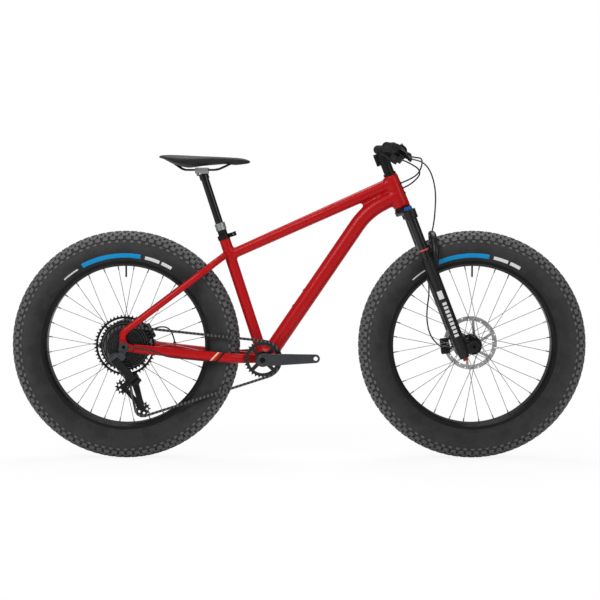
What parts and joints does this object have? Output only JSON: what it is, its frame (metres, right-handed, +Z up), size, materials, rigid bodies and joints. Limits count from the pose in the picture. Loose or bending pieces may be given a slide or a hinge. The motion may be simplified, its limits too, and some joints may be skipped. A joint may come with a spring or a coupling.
{
  "type": "fat tyre bicycle",
  "caption": "Hardtail fat tyre bicycle with suspension fork, dropper seatpost, disc brakes and a single chainring drive with rear derailleur.",
  "frame": {"origin": "on the ground, midway between the two wheel axles, in the middle plane", "axes": "+X forward, +Y to the rider's left, +Z up"},
  "size_m": [1.914, 0.7722, 1.0508],
  "materials": {
    "red_paint": "satin gloss",
    "black_metal": "black anodised, satin",
    "grey_metal": "grey anodised",
    "silver_metal": "bead blasted",
    "blue_metal": "blue anodised",
    "red_metal": "red anodised",
    "steel": "brushed",
    "black_steel": "black coated",
    "tyre_rubber": "matt",
    "black_rubber": "matt",
    "black_plastic": "matt",
    "saddle_skin": "matt synthetic cover over foam"
  },
  "bodies": {
    "frame": {"head_tube": "red_paint", "top_tube": "red_paint", "down_tube": "red_paint", "seat_tube": "red_paint", "bottom_bracket_shell": "red_paint", "chainstays": "red_paint", "seatstays": "red_paint", "rear_dropouts": "black_metal", "bearing_cups": "black_metal", "seat_clamp": "black_metal", "seatpost_outer_tube": "black_metal", "seatpost_seal_head": "grey_metal", "rear_caliper": "black_metal", "frame_cables": "black_rubber", "rear_thru_axle": "black_metal", "derailleur_mount": "black_metal", "chain": "steel"},
    "seat_clamp_lever": {"seat_clamp_lever": "black_metal"},
    "saddle": {"seatpost_shaft": "black_metal", "saddle_clamp": "silver_metal", "saddle_rails": "steel", "saddle_shell": "black_plastic", "saddle_cover": "saddle_skin"},
    "steering": {"fork_crown": "black_metal", "fork_stanchions": "black_metal", "stem": "black_metal", "headset_spacers": "black_metal", "handlebar": "black_metal", "grips": "black_rubber", "brake_lever_bodies": "black_metal", "shifter_body": "black_plastic", "front_brake_hose": "black_rubber", "bar_cables": "black_rubber"},
    "compression_knob": {"compression_knob": "blue_metal"},
    "right_brake_lever": {"right_brake_lever": "black_metal"},
    "left_brake_lever": {"left_brake_lever": "black_metal"},
    "shift_up_paddle": {"shift_up_paddle": "black_plastic"},
    "shift_down_paddle": {"shift_down_paddle": "black_plastic"},
    "fork_lowers": {"fork_lowers": "black_metal", "front_caliper": "black_metal", "front_thru_axle": "black_metal"},
    "rebound_knob": {"rebound_knob": "red_metal"},
    "front_wheel": {"front_tyre": "tyre_rubber", "front_rim": "black_metal", "front_spokes": "black_steel", "front_hub": "black_metal", "front_rotor": "steel"},
    "rear_wheel": {"rear_tyre": "tyre_rubber", "rear_rim": "black_metal", "rear_spokes": "black_steel", "rear_hub": "black_metal", "rear_rotor": "steel"},
    "cassette": {"cassette": "steel"},
    "crank": {"crank_arms": "black_metal", "chainring": "steel"},
    "derailleur_link": {"derailleur_link": "black_metal"},
    "derailleur_knuckle": {"derailleur_knuckle": "black_metal"},
    "derailleur_cage": {"derailleur_cage": "black_metal"},
    "guide_pulley": {"guide_pulley": "black_plastic"},
    "tension_pulley": {"tension_pulley": "black_plastic"}
  },
  "joints": [
    {"name": "steering", "type": "hinge", "parent": "frame", "child": "steering", "pos_m": [0.52659, 0, 0.36065], "axis": [-0.3584, 0, 0.9336], "range_deg": [-75, 75], "deforming": ["bar_cables"]},
    {"name": "fork_travel", "type": "slide", "parent": "steering", "child": "fork_lowers", "axis": [-0.3584, 0, 0.9336], "range_m": [0, 0.1], "stiffness_N_per_m": 3000, "springref_m": -0.04, "deforming": ["front_brake_hose"]},
    {"name": "front_wheel_spin", "type": "hinge", "parent": "fork_lowers", "child": "front_wheel", "pos_m": [0.577, 0, 0.38], "axis": [0, 1, 0], "continuous": true},
    {"name": "rear_wheel_spin", "type": "hinge", "parent": "frame", "child": "rear_wheel", "pos_m": [-0.577, 0, 0.38], "axis": [0, 1, 0], "continuous": true},
    {"name": "crank_spin", "type": "hinge", "parent": "frame", "child": "crank", "pos_m": [-0.12, 0, 0.337], "axis": [0, 1, 0], "continuous": true, "deforming": ["chain"]},
    {"name": "cassette_spin", "type": "hinge", "parent": "frame", "child": "cassette", "pos_m": [-0.577, 0, 0.38], "axis": [0, 1, 0], "continuous": true},
    {"name": "derailleur_shift", "type": "hinge", "parent": "frame", "child": "derailleur_link", "pos_m": [-0.601, -0.121, 0.336], "axis": [0.7601, 0, 0.6498], "range_deg": [-19, 10], "deforming": ["chain"]},
    {"name": "derailleur_level", "type": "hinge", "parent": "derailleur_link", "child": "derailleur_knuckle", "pos_m": [-0.548, -0.098, 0.274], "axis": [0.7601, 0, 0.6498], "range_deg": [-10, 19]},
    {"name": "cage_swing", "type": "hinge", "parent": "derailleur_knuckle", "child": "derailleur_cage", "pos_m": [-0.548, -0.0605, 0.274], "axis": [0, 1, 0], "range_deg": [-30, 0], "stiffness_Nm_per_rad": 0.6, "springref_deg": 28.65, "deforming": ["chain"]},
    {"name": "guide_pulley_spin", "type": "hinge", "parent": "derailleur_cage", "child": "guide_pulley", "pos_m": [-0.58414, -0.0605, 0.24364], "axis": [0, 1, 0], "continuous": true},
    {"name": "tension_pulley_spin", "type": "hinge", "parent": "derailleur_cage", "child": "tension_pulley", "pos_m": [-0.51931, -0.0605, 0.16961], "axis": [0, 1, 0], "continuous": true},
    {"name": "seatpost_drop", "type": "slide", "parent": "frame", "child": "saddle", "axis": [-0.309, 0, 0.9511], "range_m": [-0.15, 0], "stiffness_N_per_m": 300, "springref_m": 0.25},
    {"name": "seat_clamp_lever", "type": "hinge", "parent": "frame", "child": "seat_clamp_lever", "pos_m": [-0.22726, -0.017, 0.74639], "axis": [0.309, 0, -0.9511], "range_deg": [0, 150]},
    {"name": "right_brake_lever", "type": "hinge", "parent": "steering", "child": "right_brake_lever", "pos_m": [0.34368, -0.26391, 1.00601], "axis": [-0.4979, 0.0916, -0.8624], "range_deg": [0, 20], "stiffness_Nm_per_rad": 1, "springref_deg": -6.88},
    {"name": "left_brake_lever", "type": "hinge", "parent": "steering", "child": "left_brake_lever", "pos_m": [0.34368, 0.26391, 1.00601], "axis": [0.4979, 0.0916, 0.8624], "range_deg": [0, 20], "stiffness_Nm_per_rad": 1, "springref_deg": -6.88},
    {"name": "shift_up_paddle", "type": "hinge", "parent": "steering", "child": "shift_up_paddle", "pos_m": [0.31, -0.19383, 0.99], "axis": [-0.4979, 0.0916, -0.8624], "range_deg": [0, 20], "stiffness_Nm_per_rad": 0.5, "springref_deg": -6.88},
    {"name": "shift_down_paddle", "type": "hinge", "parent": "steering", "child": "shift_down_paddle", "pos_m": [0.31, -0.19383, 0.99], "axis": [-0.4979, 0.0916, -0.8624], "range_deg": [0, 25], "stiffness_Nm_per_rad": 0.5, "springref_deg": -6.88},
    {"name": "compression_knob", "type": "hinge", "parent": "steering", "child": "compression_knob", "pos_m": [0.35882, -0.088, 0.83396], "axis": [-0.3584, 0, 0.9336], "range_deg": [-90, 0]},
    {"name": "rebound_knob", "type": "hinge", "parent": "fork_lowers", "child": "rebound_knob", "pos_m": [0.54912, -0.088, 0.33824], "axis": [-0.3584, 0, 0.9336], "range_deg": [-135, 135]}
  ],
  "couplings": [
    {"joint": "cassette_spin", "follows": "crank_spin", "ratio": 0.9375},
    {"joint": "guide_pulley_spin", "follows": "crank_spin", "ratio": -2.5},
    {"joint": "tension_pulley_spin", "follows": "crank_spin", "ratio": 2.5},
    {"joint": "derailleur_level", "follows": "derailleur_shift", "ratio": -1}
  ]
}
